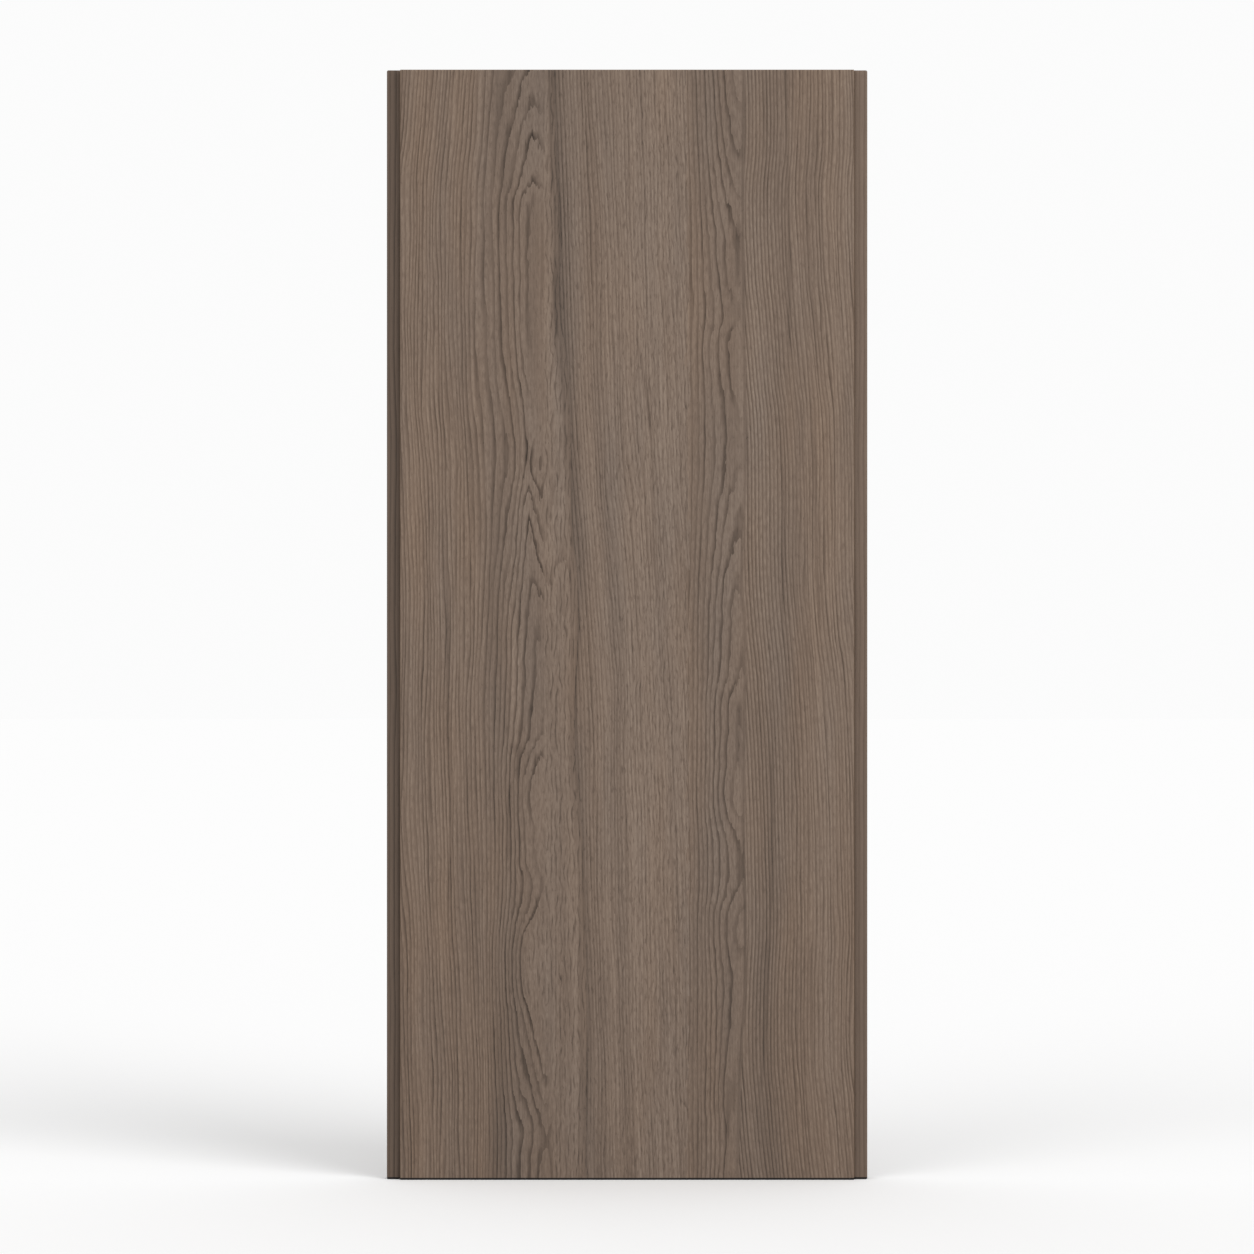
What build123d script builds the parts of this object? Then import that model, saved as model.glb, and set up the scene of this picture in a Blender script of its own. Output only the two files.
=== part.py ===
from build123d import *
import os

# A flush leaf for an interior door, rebated along its two long edges.
# Sizes are in millimetres: X runs across the leaf, Y from front to back, Z up.
# The front looks along -Y, and the origin is at the middle of the foot.

# The whole leaf
LEAF_WIDTH = 860.0
LEAF_HEIGHT = 1985.0
LEAF_THICKNESS = 40.0
CORNER_RADIUS = 3.0
ARRIS = 1.0

# The rebate cut into the front along each long edge
REBATE_WIDTH = 24.0
REBATE_DEPTH = 10.0

# The two layers on each face
VENEER_THICKNESS = 0.6
CROSSBAND_THICKNESS = 3.0

# The frame between the faces
LIPPING_LAND = 8.0
STILE_WIDTH = 36.0
TOP_RAIL_HEIGHT = 45.0
BOTTOM_RAIL_HEIGHT = 75.0

# The blocks that a lock or a handle is let into, one beside each stile
LOCK_BLOCK_WIDTH = 110.0
LOCK_BLOCK_HEIGHT = 420.0
LOCK_LEVEL = 1050.0

# The tubes that run up through the core
TUBE_DIAMETER = 24.0
TUBE_PITCH = 32.0
TUBE_MARGIN = 5.0

# Least sine of the angle between two edges that aren't parallel
ANGLE_SLACK = 0.001

# Planes across the leaf, measured from its middle
EDGE = LEAF_WIDTH / 2
SHOULDER = EDGE - REBATE_WIDTH
STILE_OUTER = SHOULDER - LIPPING_LAND
STILE_INNER = STILE_OUTER - STILE_WIDTH
LOCK_BLOCK_INNER = STILE_INNER - LOCK_BLOCK_WIDTH

# Planes through the leaf, from front to back
FRONT = -LEAF_THICKNESS / 2
FRAME_FRONT = FRONT + VENEER_THICKNESS + CROSSBAND_THICKNESS
FLANGE_FRONT = FRONT + REBATE_DEPTH
BACK = LEAF_THICKNESS / 2
FRAME_BACK = BACK - VENEER_THICKNESS - CROSSBAND_THICKNESS

# Levels above the floor
CORE_FOOT = BOTTOM_RAIL_HEIGHT
LOCK_BLOCK_FOOT = LOCK_LEVEL - LOCK_BLOCK_HEIGHT / 2
LOCK_BLOCK_HEAD = LOCK_LEVEL + LOCK_BLOCK_HEIGHT / 2
CORE_HEAD = LEAF_HEIGHT - TOP_RAIL_HEIGHT


def block(left, right, front, back, foot, head):
    """A plain block between six planes."""
    middle = Pos((left + right) / 2, (front + back) / 2, (foot + head) / 2)
    return middle * Box(right - left, back - front, head - foot)


def on_both_sides(right_piece):
    """A piece of the right side, and its mirror image on the left."""
    return {"left": mirror(right_piece, about=Plane.YZ), "right": right_piece}


def envelope():
    """The outer form of the whole leaf, with both rebates, round corners and eased arrises."""
    leaf = block(-EDGE, EDGE, FRONT, BACK, 0, LEAF_HEIGHT)
    leaf = fillet(leaf.edges().filter_by(Axis.Y), CORNER_RADIUS)
    rebate = block(SHOULDER, EDGE, FRONT, FLANGE_FRONT, 0, LEAF_HEIGHT)
    for cut in on_both_sides(rebate).values():
        leaf -= cut
    return chamfer([edge for edge in leaf.edges() if is_arris(edge)], ARRIS)


def is_arris(edge):
    """Whether an edge of the leaf is sharp and stands outwards, so that it is eased."""
    place = edge.center()
    along_thickness = edge.tangent_at(0.5).cross(Vector(0, 1, 0)).length < ANGLE_SLACK
    ends_a_round_corner = along_thickness and abs(place.X) > SHOULDER + ARRIS
    in_a_rebate = (
        abs(abs(place.X) - SHOULDER) < ARRIS
        and abs(place.Y - FLANGE_FRONT) < ARRIS
        and ARRIS < place.Z < LEAF_HEIGHT - ARRIS
    )
    return not (ends_a_round_corner or in_a_rebate)


def front_crossband():
    """The board under the front veneer, which stops at the rebates."""
    return block(-SHOULDER, SHOULDER, FRONT + VENEER_THICKNESS, FRAME_FRONT, 0, LEAF_HEIGHT)


def back_crossband():
    """The board under the back veneer, which covers the lippings too."""
    return block(-EDGE, EDGE, FRAME_BACK, BACK - VENEER_THICKNESS, 0, LEAF_HEIGHT)


def front_veneer():
    """The sheet of veneer that shows between the rebates."""
    return block(-SHOULDER, SHOULDER, FRONT, FRONT + VENEER_THICKNESS, 0, LEAF_HEIGHT)


def back_veneer():
    """The sheet of veneer on the back, as wide as the leaf."""
    return block(-EDGE, EDGE, BACK - VENEER_THICKNESS, BACK, 0, LEAF_HEIGHT)


def right_lipping():
    """The solid edge strip, with the rebate milled into its front."""
    section = Polygon(
        (STILE_OUTER, FRAME_FRONT),
        (SHOULDER, FRAME_FRONT),
        (SHOULDER, FLANGE_FRONT),
        (EDGE, FLANGE_FRONT),
        (EDGE, FRAME_BACK),
        (STILE_OUTER, FRAME_BACK),
        align=None,
    )
    return extrude(section, amount=LEAF_HEIGHT)


def right_stile():
    """The upright of the frame, from the foot to the head of the leaf."""
    return block(STILE_INNER, STILE_OUTER, FRAME_FRONT, FRAME_BACK, 0, LEAF_HEIGHT)


def rail(foot, head):
    """A cross piece of the frame, fitted between the stiles."""
    return block(-STILE_INNER, STILE_INNER, FRAME_FRONT, FRAME_BACK, foot, head)


def right_lock_block():
    """The block glued to the inside of the stile at the level of the lock."""
    return block(
        LOCK_BLOCK_INNER, STILE_INNER, FRAME_FRONT, FRAME_BACK, LOCK_BLOCK_FOOT, LOCK_BLOCK_HEAD
    )


def core(half_width, foot, head):
    """A length of extruded board with a row of tubes running up through it."""
    board = block(-half_width, half_width, FRAME_FRONT, FRAME_BACK, foot, head)
    row = 2 * half_width - 2 * TUBE_MARGIN - TUBE_DIAMETER
    tubes = 1 + int(row // TUBE_PITCH)
    for place in GridLocations(TUBE_PITCH, 1, tubes, 1):
        tube = Cylinder(TUBE_DIAMETER / 2, head - foot, align=(Align.CENTER, Align.CENTER, Align.MIN))
        board -= Pos(0, 0, foot) * place * tube
    return board


def leaf_pieces():
    """Every piece of the leaf, by the name of its node."""
    pieces = {
        "front_veneer": front_veneer(),
        "front_crossband": front_crossband(),
        "back_crossband": back_crossband(),
        "back_veneer": back_veneer(),
        "bottom_rail": rail(0, BOTTOM_RAIL_HEIGHT),
        "top_rail": rail(CORE_HEAD, LEAF_HEIGHT),
        "lower_core": core(STILE_INNER, CORE_FOOT, LOCK_BLOCK_FOOT),
        "middle_core": core(LOCK_BLOCK_INNER, LOCK_BLOCK_FOOT, LOCK_BLOCK_HEAD),
        "upper_core": core(STILE_INNER, LOCK_BLOCK_HEAD, CORE_HEAD),
    }
    for name, piece in (
        ("lipping", right_lipping()),
        ("stile", right_stile()),
        ("lock_block", right_lock_block()),
    ):
        for side, copy in on_both_sides(piece).items():
            pieces[f"{side}_{name}"] = copy
    return pieces


os.makedirs("parts", exist_ok=True)
outer_form = envelope()
for node, piece in leaf_pieces().items():
    export_step(piece & outer_form, f"parts/{node}.step")
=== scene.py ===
import logging
import math
from dataclasses import dataclass
from enum import Enum
from typing import Union

import bpy
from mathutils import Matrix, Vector


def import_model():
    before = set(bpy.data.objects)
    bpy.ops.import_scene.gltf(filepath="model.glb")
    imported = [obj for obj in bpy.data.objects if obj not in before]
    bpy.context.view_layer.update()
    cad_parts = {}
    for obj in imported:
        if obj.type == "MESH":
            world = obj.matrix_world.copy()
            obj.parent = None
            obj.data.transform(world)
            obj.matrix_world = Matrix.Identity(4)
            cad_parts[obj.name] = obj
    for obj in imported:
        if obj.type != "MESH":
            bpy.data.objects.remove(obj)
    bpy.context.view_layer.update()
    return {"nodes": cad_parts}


LOG = logging.getLogger("door_leaf")

# A millimetre in metres, and the leaf's height and its long edges' place in millimetres
MILLIMETRE = 0.001
LEAF_HEIGHT = 1985.0
LEAF_EDGE = 430.0

# How a screen's colours turn into linear light
SCREEN_WHITE = 255
SCREEN_OFFSET = 0.055
SCREEN_POWER = 2.4

# How far the place that noise is read at moves for each step of a seed, in waves
SEED_STEPS = (7.31, 3.17, 5.03)
LINE_SEED_STEP = 11.7

Colour = tuple[float, float, float, float]
Number = Union[float, "Signal"]
Stations = tuple[tuple[float, float], ...]


def stain(red: float, green: float, blue: float) -> Colour:
    """A colour as a shader takes it.

    Args:
        red: the red part on a screen's scale, from 0 to 255.
        green: the green part.
        blue: the blue part.

    Returns:
        The same colour in linear light.
    """
    shares = [part / SCREEN_WHITE + SCREEN_OFFSET for part in (red, green, blue)]
    return (*((share / (1 + SCREEN_OFFSET)) ** SCREEN_POWER for share in shares), 1.0)


class Signal:
    """A value on its way through a material's nodes, which Python's own operators work on."""

    def __init__(self, recipe: "Recipe", socket: bpy.types.NodeSocket) -> None:
        """Wraps a node's output.

        Args:
            recipe: the recipe that the node belongs to.
            socket: the output.
        """
        self.recipe = recipe
        self.socket = socket

    def math(self, operation: str, *numbers: Number) -> "Signal":
        """Adds a Math node.

        Args:
            operation: the Math node's operation.
            numbers: its inputs, in order.

        Returns:
            The node's result.
        """
        return self.recipe.add("ShaderNodeMath", {"operation": operation}, dict(enumerate(numbers)))

    def __add__(self, other: Number) -> "Signal":
        """Adds another number."""
        return self.math("ADD", self, other)

    __radd__ = __add__

    def __sub__(self, other: Number) -> "Signal":
        """Takes another number away."""
        return self.math("SUBTRACT", self, other)

    def __rsub__(self, other: Number) -> "Signal":
        """Takes this away from another number."""
        return self.math("SUBTRACT", other, self)

    def __mul__(self, other: Number) -> "Signal":
        """Multiplies by another number."""
        return self.math("MULTIPLY", self, other)

    __rmul__ = __mul__

    def __truediv__(self, other: Number) -> "Signal":
        """Divides by another number."""
        return self.math("DIVIDE", self, other)

    def __rtruediv__(self, other: Number) -> "Signal":
        """Divides another number by this one."""
        return self.math("DIVIDE", other, self)

    def floor(self) -> "Signal":
        """The whole number below."""
        return self.math("FLOOR", self)

    def fraction(self) -> "Signal":
        """What is left above the whole number below."""
        return self.math("FRACT", self)

    def root(self) -> "Signal":
        """The square root."""
        return self.math("SQRT", self)

    def size(self) -> "Signal":
        """The number without its sign."""
        return self.math("ABSOLUTE", self)

    def least(self, other: Number) -> "Signal":
        """The lesser of this and another number."""
        return self.math("MINIMUM", self, other)

    def most(self, other: Number) -> "Signal":
        """The greater of this and another number."""
        return self.math("MAXIMUM", self, other)

    def above(self, limit: Number) -> "Signal":
        """1 where this is above a limit, and 0 elsewhere."""
        return self.math("GREATER_THAN", self, limit)

    def below(self, limit: Number) -> "Signal":
        """1 where this is below a limit, and 0 elsewhere."""
        return self.math("LESS_THAN", self, limit)

    def step(self, low: Number, high: Number) -> "Signal":
        """A smooth step.

        Args:
            low: the value at which the step is 0.
            high: the value at which the step is 1, which may be the lower one.

        Returns:
            The step, from 0 to 1.
        """
        limits = {"Value": self, "From Min": low, "From Max": high}
        return self.recipe.add("ShaderNodeMapRange", {"interpolation_type": "SMOOTHSTEP"}, limits)

    def follow(self, stations: Stations) -> "Signal":
        """A drawn curve, read at this value.

        Args:
            stations: the curve's points, in rising order: a value, and the curve's value there.

        Returns:
            The curve's value.
        """
        start, end = stations[0][0], stations[-1][0]
        heights = [value for _, value in stations]
        low, span = min(heights), (max(heights) - min(heights)) or 1.0
        points = [((at - start) / (end - start), (value - low) / span) for at, value in stations]
        along = self.math("MULTIPLY_ADD", self, 1 / (end - start), -start / (end - start))
        drawn = self.recipe.add("ShaderNodeFloatCurve", {"points": points}, {"Value": along})
        return self.math("MULTIPLY_ADD", drawn, span, low)


@dataclass(frozen=True)
class Waves:
    """Smooth noise of one kind.

    Attributes:
        lengths: how long its waves are along the one, two or three numbers that it is read at, in
            those numbers' own unit.
        seed: a number that makes it differ from the other kinds.
        detail: the number of finer layers.
        strength: what it is multiplied by.
    """

    lengths: tuple[float, ...]
    seed: float
    detail: float = 1.0
    strength: float = 1.0


class Recipe:
    """The nodes of one material, or of the world."""

    def __init__(self, owner: bpy.types.Material | bpy.types.World) -> None:
        """Starts with no nodes.

        Args:
            owner: the material or the world.
        """
        owner.use_nodes = True
        self.owner = owner
        self.tree = owner.node_tree
        self.tree.nodes.clear()

    @staticmethod
    def of_material(name: str) -> "Recipe":
        """An empty recipe for a new material."""
        return Recipe(bpy.data.materials.new(name))

    def add(
        self,
        kind: str,
        settings: dict | None = None,
        sockets: dict | None = None,
        out: str | int = 0,
    ) -> Signal | None:
        """Adds a node, with its settings first and then the values or links of its sockets.

        Args:
            kind: the node's type.
            settings: its properties, a ramp's stops or a curve's points.
            sockets: its inputs by name or number, each a value or a signal.
            out: the output to hand back.

        Returns:
            The chosen output, or nothing for a node that has none.
        """
        node = self.tree.nodes.new(kind)
        for name, value in (settings or {}).items():
            if name == "stops":
                self.set_stops(node.color_ramp, value)
            elif name == "points":
                self.set_points(node.mapping, value)
            else:
                setattr(node, name, value)
        for name, value in (sockets or {}).items():
            if isinstance(value, Signal):
                self.tree.links.new(value.socket, node.inputs[name])
            else:
                node.inputs[name].default_value = value
        return Signal(self, node.outputs[out]) if node.outputs else None

    @staticmethod
    def set_stops(ramp: bpy.types.ColorRamp, stops: tuple[tuple[float, Colour], ...]) -> None:
        """Sets a colour ramp.

        Args:
            ramp: the ramp, which starts with two stops.
            stops: the place and the colour of each stop, in rising order.
        """
        while len(ramp.elements) < len(stops):
            ramp.elements.new(1.0)
        for element, (place, colour) in zip(ramp.elements, stops):
            element.position = place
            element.color = colour

    @staticmethod
    def set_points(mapping: bpy.types.CurveMapping, points: list[tuple[float, float]]) -> None:
        """Draws a curve.

        Args:
            mapping: the curve, which starts with two points.
            points: its points, each from 0 to 1 both ways, in rising order.
        """
        curve = mapping.curves[0]
        curve.points[0].location = points[0]
        curve.points[1].location = points[-1]
        for point in points[1:-1]:
            curve.points.new(*point)
        mapping.update()

    def place(self, across: Number, along: Number, through: Number = 0.0) -> Signal:
        """Makes a vector of three numbers."""
        return self.add("ShaderNodeCombineXYZ", sockets={0: across, 1: along, 2: through})

    def noise(self, place: Signal, waves: Waves, seed: float) -> Signal:
        """Smooth noise over a vector.

        Args:
            place: the vector to read it at, in millimetres.
            waves: the kind of noise.
            seed: a number that makes it differ from the same noise in other finishes.

        Returns:
            The noise, mostly from -0.5 to 0.5 before its strength.
        """
        solid = len(waves.lengths) == 3
        scales = [1 / length for length in waves.lengths] + ([] if solid else [0.0])
        steps = tuple((waves.seed + seed) * step for step in SEED_STEPS)
        sockets = {0: place, 1: scales, 2: steps}
        where = self.add("ShaderNodeVectorMath", {"operation": "MULTIPLY_ADD"}, sockets)
        dimensions = {"noise_dimensions": "3D" if solid else "2D"}
        sockets = {"Vector": where, "Scale": 1.0, "Detail": waves.detail}
        layered = self.add("ShaderNodeTexNoise", dimensions, sockets)
        return (layered - 0.5) * waves.strength

    def line_noise(self, along: Signal, waves: Waves, seed: float) -> Signal:
        """Smooth noise over a single number.

        Args:
            along: the number.
            waves: the kind of noise.
            seed: a number that makes it differ from the same noise in other finishes.

        Returns:
            The noise, mostly from -0.5 to 0.5 before its strength.
        """
        offset = (waves.seed + seed) * LINE_SEED_STEP
        where = along.math("MULTIPLY_ADD", along, 1 / waves.lengths[0], offset)
        sockets = {"W": where, "Scale": 1.0, "Detail": waves.detail}
        layered = self.add("ShaderNodeTexNoise", {"noise_dimensions": "1D"}, sockets)
        return (layered - 0.5) * waves.strength

    def chance(self, number: Signal, seed: float) -> Signal:
        """A random number from 0 to 1 for each whole number."""
        sockets = {"W": number + seed}
        return self.add("ShaderNodeTexWhiteNoise", {"noise_dimensions": "1D"}, sockets, "Value")

    def mix(
        self,
        factor: Number,
        first: Colour | Signal,
        second: Colour | Signal,
        way: str = "MIX",
    ) -> Signal:
        """Mixes two colours.

        Args:
            factor: 0 for the first colour and 1 for the second.
            first: the first colour.
            second: the second colour.
            way: the Mix node's way of mixing.

        Returns:
            The mixed colour.
        """
        sockets = {"Factor": factor, 6: first, 7: second}
        return self.add("ShaderNodeMix", {"data_type": "RGBA", "blend_type": way}, sockets, 2)

    def tint(self, value: Signal, stops: tuple[tuple[float, Colour], ...]) -> Signal:
        """A colour picked from a ramp.

        Args:
            value: the place on the ramp.
            stops: the ramp's stops, each a value and a colour, in rising order.

        Returns:
            The colour.
        """
        start, span = stops[0][0], stops[-1][0] - stops[0][0]
        places = tuple(((at - start) / span, colour) for at, colour in stops)
        factor = value.math("MULTIPLY_ADD", value, 1 / span, -start / span)
        return self.add("ShaderNodeValToRGB", {"stops": places}, {0: factor})

    def position(self) -> tuple[Signal, Signal, Signal]:
        """The place on the object.

        Returns:
            Its X, Y and Z in millimetres.
        """
        metres = self.add("ShaderNodeTexCoord", out="Object")
        sockets = {0: metres, "Scale": 1 / MILLIMETRE}
        place = self.add("ShaderNodeVectorMath", {"operation": "SCALE"}, sockets)
        return tuple(
            self.add("ShaderNodeSeparateXYZ", sockets={0: place}, out=axis) for axis in range(3)
        )

    def surface(
        self, colour: Signal, roughness: Signal, height: Signal, relief: float, gloss: float = 0.3
    ) -> bpy.types.Material:
        """Finishes a material with its shader.

        Args:
            colour: its colour.
            roughness: its roughness.
            height: the height of its relief, from 0 to 1.
            relief: the depth of that relief, in millimetres.
            gloss: its specular level.

        Returns:
            The finished material.
        """
        bumps = {"Height": height, "Distance": relief * MILLIMETRE, "Strength": 1.0}
        normal = self.add("ShaderNodeBump", sockets=bumps)
        sockets = {
            "Base Color": colour,
            "Roughness": roughness,
            "Normal": normal,
            "Specular IOR Level": gloss,
        }
        return self.finish(self.add("ShaderNodeBsdfPrincipled", sockets=sockets))

    def finish(self, shader: Signal) -> bpy.types.Material | bpy.types.World:
        """Sends a shader to the output.

        Args:
            shader: the shader.

        Returns:
            The finished material or world.
        """
        kind = "World" if isinstance(self.owner, bpy.types.World) else "Material"
        self.add(f"ShaderNodeOutput{kind}", sockets={"Surface": shader})
        return self.owner


OAK_STAIN = (
    (62.0, stain(60, 50, 42)),
    (100.0, stain(100, 84, 72)),
    (121.0, stain(121, 103, 89)),
    (136.0, stain(136, 118, 103)),
    (156.0, stain(156, 138, 122)),
)
COOL_CAST = (0.965, 1.0, 1.045, 1.0)
WARM_CAST = (1.045, 1.0, 0.95, 1.0)
# Painted contact shadow: a near-black band along the foot of each piece, where shade falls next to
# the floor; its height and soft edge are in millimetres
FOOT_CONTACT_SHADOW = stain(26, 21, 18)
CONTACT_SHADOW_HEIGHT = 4.0
CONTACT_SHADOW_EDGE = 0.4


def with_painted_contact_shadow(recipe: Recipe, colour: Signal, height: Signal) -> Signal:
    """Paints a near-black contact shadow along the foot of a piece, where it meets the floor.

    Args:
        recipe: the piece's recipe.
        colour: the colour above the painted shadow.
        height: the level, in millimetres.

    Returns:
        The colour with the painted shadow.
    """
    in_contact_shadow = height.step(CONTACT_SHADOW_HEIGHT, CONTACT_SHADOW_HEIGHT - CONTACT_SHADOW_EDGE)
    return recipe.mix(in_contact_shadow, colour, FOOT_CONTACT_SHADOW)


class Face(Enum):
    """The two faces of the leaf."""

    FRONT = "front_veneer"
    BACK = "back_veneer"


@dataclass(frozen=True)
class CrownColumn:
    """A column of arches, where the knife ran nearest to the heart of the log.

    Every ring is a line at a fixed distance from the heart, so the arches stand where the depth of
    the heart passes a whole number of rings.

    Attributes:
        axis: the middle of the arches at each level, in millimetres from the middle of the leaf.
        depth: the depth of the heart at each level, in rings.
        pointed: how pointed the arches are at each level, in rings.
        apexes: how dark the arches' tops are beside their legs at each level.
        right_legs: how clearly the arches' right legs show at each level, from 0 to 1.
        leaving: how far to the right of the axis the lines begin and finish to leave the arches and
            run straight on, in millimetres.
        rest: the depth that the straight lines on the right keep to, in rings.
        hollow: how many rings round the heart don't show.
        legs_end: how far to the right the arches run at each level, in millimetres from the middle
            of the leaf.
        leg_hem: how far to the right of the axis the right legs begin and are whole, in
            millimetres.
        apex_reach: how far beside the axis the apexes end and are whole, in rings.
        ring_hem: how soft the edge of the hollow heart is, in rings.
        first_gain: how much darker the first ring round the heart is, as a part of its darkness.
        end_hem: how far beside the end of the arches they begin to fade and have faded, in
            millimetres.
        end_loss: how much fainter the lines are past that end.
    """

    axis: Stations
    depth: Stations
    pointed: Stations
    apexes: Stations
    right_legs: Stations
    leaving: tuple[float, float]
    rest: float
    hollow: float = 0.0
    legs_end: Stations = ((0.0, LEAF_EDGE), (LEAF_HEIGHT, LEAF_EDGE))
    leg_hem: tuple[float, float] = (-2.0, 6.0)
    apex_reach: tuple[float, float] = (2.8, 1.0)
    ring_hem: float = 0.1
    first_gain: float = 0.5
    end_hem: tuple[float, float] = (-4.0, 2.0)
    end_loss: float = 0.4

    def middle(self) -> float:
        """Where the column stands on the whole, in millimetres."""
        return sum(value for _, value in self.axis) / len(self.axis)

    def usual_depth(self) -> float:
        """How deep the heart lies on the whole, in rings."""
        return sum(value for _, value in self.depth) / len(self.depth)


LEFT_COLUMN = CrownColumn(
    axis=(
        (0, -144), (84, -143), (125, -140), (178, -141), (250, -146), (300, -150), (348, -154),
        (384, -156), (420, -155), (447, -152), (479, -147), (518, -147), (545, -153), (600, -163),
        (643, -164), (700, -160), (750, -151), (800, -149), (850, -152), (970, -155), (1065, -168),
        (1108, -173), (1175, -178), (1234, -180.5), (1300, -179), (1340, -173), (1385, -167),
        (1505, -171), (1640, -167), (1985, -167),
    ),
    depth=(
        (0, 7.6), (45, 7.8), (84, 8.03), (105, 7.7), (135, 7), (178, 6.1), (214, 5.6), (250, 5.2),
        (300, 4.4), (322, 3.7), (348, 3), (384, 2.6), (420, 3), (447, 3.9), (479, 5.1),
        (518, 5.95), (545, 6.1), (565, 6.1), (600, 6.1), (625, 6.05), (660, 5.8), (697, 5.5),
        (730, 5.6), (768, 6.2), (795, 6.95), (822, 7.2), (880, 7.7), (930, 7.85), (974, 8),
        (1020, 8.5), (1065, 9), (1175, 10), (1234, 11), (1291, 11.87), (1340, 11.5), (1385, 11),
        (1493, 10), (1560, 9.85), (1690, 9.85), (1742, 10), (1782, 11), (1856, 12), (1922, 13),
        (1985, 13.9),
    ),
    pointed=(
        (0, 1), (1000, 1), (1100, 3), (1180, 4.5), (1300, 4.5), (1420, 3), (1600, 1), (1750, 0.5),
        (1985, 0),
    ),
    apexes=(
        (0, 0.6), (140, 0.6), (300, 0.5), (450, 0.8), (530, 0.3), (620, 0.3), (700, 0.9),
        (930, 0.4), (1010, 0.4), (1050, 1.2), (1300, 1.3), (1340, 0.5), (1430, 0.2), (1755, 0.4),
        (1780, 1.5), (1985, 1.5),
    ),
    right_legs=(
        (0, 0.8), (90, 0.8), (130, 0.1), (800, 0.1), (1000, 0.4), (1070, 0.9), (1290, 1),
        (1310, 0.2), (1400, 0.15), (1500, 0.35), (1985, 0.35),
    ),
    leaving=(22.0, 58.0),
    rest=4.0,
    hollow=5.5,
    legs_end=((0, -133), (250, -134), (380, -147), (1985, -147)),
)

RIGHT_COLUMN = CrownColumn(
    axis=(
        (0, 187), (100, 189), (250, 197), (410, 205), (530, 207), (650, 202), (965, 206),
        (1065, 199), (1210, 204), (1320, 206), (1552, 202), (1600, 197), (1690, 201), (1985, 201),
    ),
    depth=(
        (0, 7.2), (89, 7.5), (142, 7.1), (214, 7.3), (321, 7.6), (411, 7), (447, 6.7), (486, 7),
        (568, 8.1), (652, 7), (697, 6.6), (756, 6.93), (840, 7.03), (904, 8), (965, 8.3),
        (1064, 9), (1153, 10), (1207, 10.3), (1314, 11.1), (1421, 10.6), (1493, 10.3),
        (1550, 11.05), (1600, 10.6), (1689, 10), (1766, 9), (1836, 8), (1931, 7), (1985, 6.5),
    ),
    pointed=((0, 1), (1985, 1)),
    apexes=(
        (0, 0.7), (700, 0.8), (860, 0.6), (1180, 0.8), (1240, 0.4), (1500, 0.3), (1680, 0.55),
        (1985, 0.7),
    ),
    right_legs=((0, 0.6), (1985, 0.6)),
    leaving=(5.0, 5.8),
    rest=3.0,
)

BAND: Stations = (
    (0, -75), (450, -75), (680, -86), (820, -95), (1035, -89), (1180, -100), (1325, -102),
    (1485, -111), (1575, -123), (1700, -120), (1805, -127), (1985, -132),
)
BORDER: Stations = (
    (0, 196), (250, 204), (410, 211), (650, 208), (965, 211), (1065, 205), (1320, 211),
    (1552, 208), (1690, 207), (1985, 208),
)


@dataclass(frozen=True)
class Drift:
    """How the straight lines wander sideways on their way up the leaf.

    All are in millimetres, and places across the leaf are from its middle.

    Attributes:
        left: how far the lines left of the columns stand to the right at each level.
        left_from: where these lines begin to wander and where they wander wholly.
        middle: how far the lines between the columns stand to the right at each level.
        middle_start: where these lines begin at each level.
        middle_end: where they end.
        right: how far the lines right of the columns stand to the right at each level.
        right_start: where these lines begin at each level.
        middle_hem: how far past their start the lines between the columns really begin.
        right_hem: the same for the lines right of the columns.
    """

    left: Stations
    left_from: tuple[float, float]
    middle: Stations
    middle_start: Stations
    middle_end: float
    right: Stations
    right_start: Stations
    middle_hem: float = 1.0
    right_hem: float = 2.5


DRIFT = Drift(
    left=(
        (0, 14), (143, 12), (357, 7), (572, -1), (787, -6), (1001, -3), (1216, -4), (1323, -9),
        (1430, -16), (1537, -17), (1752, -15), (1860, -8), (1985, 0),
    ),
    left_from=(-230.0, -290.0),
    middle=(
        (0, 80), (250, 73), (464, 68), (679, 63), (894, 55), (1001, 49), (1108, 42), (1216, 34),
        (1323, 27), (1537, 17), (1752, 9), (1985, 0),
    ),
    middle_start=BAND,
    middle_end=108.0,
    right=(
        (0, 74), (143, 60), (250, 54), (357, 56), (464, 60), (572, 58), (679, 55), (894, 43),
        (1001, 33), (1108, 27), (1323, 25), (1430, 17), (1537, 8), (1645, -1), (1752, -4),
        (1860, 2), (1985, 0),
    ),
    right_start=BORDER,
)

SHADE_ACROSS: Stations = (
    (-430, -1), (-380, -2), (-345, 0), (-300, -1.4), (-248, -3.3), (-205, -4), (-165, -5.6),
    (-125, -5), (-84, -2.8), (-45, 0.3), (38, 2.6), (109, -0.4), (145, -4), (190, -3.4),
    (217, -1.2), (250, -2.5), (285, -2), (324, -0.5), (360, 3.8), (430, -2),
)
# Painted shade: the veneer's tone darkens towards the foot, on a screen's scale at each level, for
# the light falling off lower down
PAINTED_SHADE_UP: Stations = ((0, -4.5), (250, -4), (480, -2.2), (700, 0), (1985, 1))


@dataclass(frozen=True)
class Streak:
    """A line or a strip that stands out from the others.

    Attributes:
        course: its place across the leaf at each level, in millimetres.
        darkness: how much darker it is at each level, on a screen's scale. Below 0 it is paler.
        width: how far it reaches to either side, in millimetres.
        core: the part of that width in which it is darkest.
    """

    course: Stations
    darkness: Stations
    width: float
    core: float = 0.15

    def shade(self, across: Signal, level: Signal) -> Signal:
        """How much darker the veneer is here.

        Args:
            across: the place across the leaf, in millimetres.
            level: the height, in millimetres.

        Returns:
            The shade, on a screen's scale.
        """
        beside = (across - level.follow(self.course)).size()
        return beside.step(self.width, self.width * self.core) * level.follow(self.darkness)


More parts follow.
